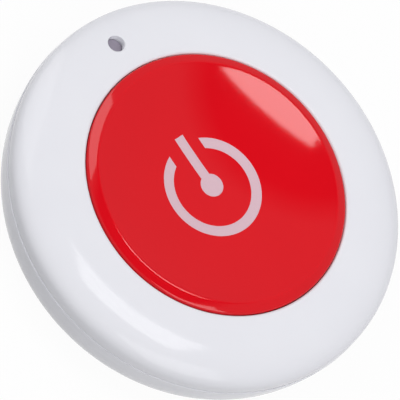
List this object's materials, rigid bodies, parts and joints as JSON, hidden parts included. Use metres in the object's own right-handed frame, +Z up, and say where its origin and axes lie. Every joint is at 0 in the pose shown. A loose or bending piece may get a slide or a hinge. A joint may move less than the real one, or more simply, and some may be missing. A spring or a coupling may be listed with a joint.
{
  "type": "wireless remote control",
  "caption": "Round hand-held or table-top radio remote control with one large dished push button, a small status light and a coin-cell door in its base.",
  "frame": {"origin": "centre of the flat base, on the surface that the remote lies on", "axes": "+Z up through the button, +Y from the centre to the status light"},
  "size_m": [0.06, 0.06, 0.0121],
  "materials": {
    "white_shell": "glossy white ABS",
    "red_cap": "polished red ABS",
    "cell_steel": "nickel-plated steel",
    "spring_metal": "nickel-plated spring strip",
    "board_laminate": "green solder mask on glass-epoxy board",
    "board_copper": "bare copper track",
    "black_moulding": "matt black moulding compound",
    "tinned_metal": "tinned sheet metal",
    "ceramic_case": "fired ceramic",
    "clear_lens": "clear cast epoxy",
    "screw_steel": "zinc-plated steel"
  },
  "bodies": {
    "housing": {"top_shell": "white_shell", "bottom_shell": "white_shell", "positive_clip": "spring_metal", "negative_contact": "spring_metal", "circuit_board": "board_laminate", "antenna_loop": "board_copper", "switch_housing": "black_moulding", "switch_terminals": "tinned_metal", "switch_dome": "spring_metal", "switch_cover": "tinned_metal", "encoder_chip": "black_moulding", "encoder_leads": "tinned_metal", "saw_resonator": "ceramic_case", "rf_transistor": "black_moulding", "transistor_leads": "tinned_metal", "chip_resistors": "black_moulding", "chip_capacitors": "ceramic_case", "led_leads": "tinned_metal", "led_lens": "clear_lens", "case_screws": "screw_steel"},
    "button": {"button_cap": "red_cap"},
    "plunger": {"switch_plunger": "black_moulding"},
    "door": {"battery_door": "white_shell", "coin_cell": "cell_steel"}
  },
  "joints": [
    {"name": "button_press", "type": "slide", "parent": "housing", "child": "button", "axis": [0, 0, -1], "range_m": [0, 0.0003], "stiffness_N_per_m": 5000, "springref_m": -0.0002},
    {"name": "plunger_press", "type": "slide", "parent": "housing", "child": "plunger", "axis": [0, 0, -1], "range_m": [0, 0.0003], "deforming": ["switch_dome"]},
    {"name": "battery_door_turn", "type": "hinge", "parent": "housing", "child": "door", "pos_m": [0, 0, 0.0012], "axis": [0, 0, -1], "range_deg": [0, 30]}
  ],
  "couplings": [
    {"joint": "plunger_press", "follows": "button_press", "ratio": 1}
  ]
}
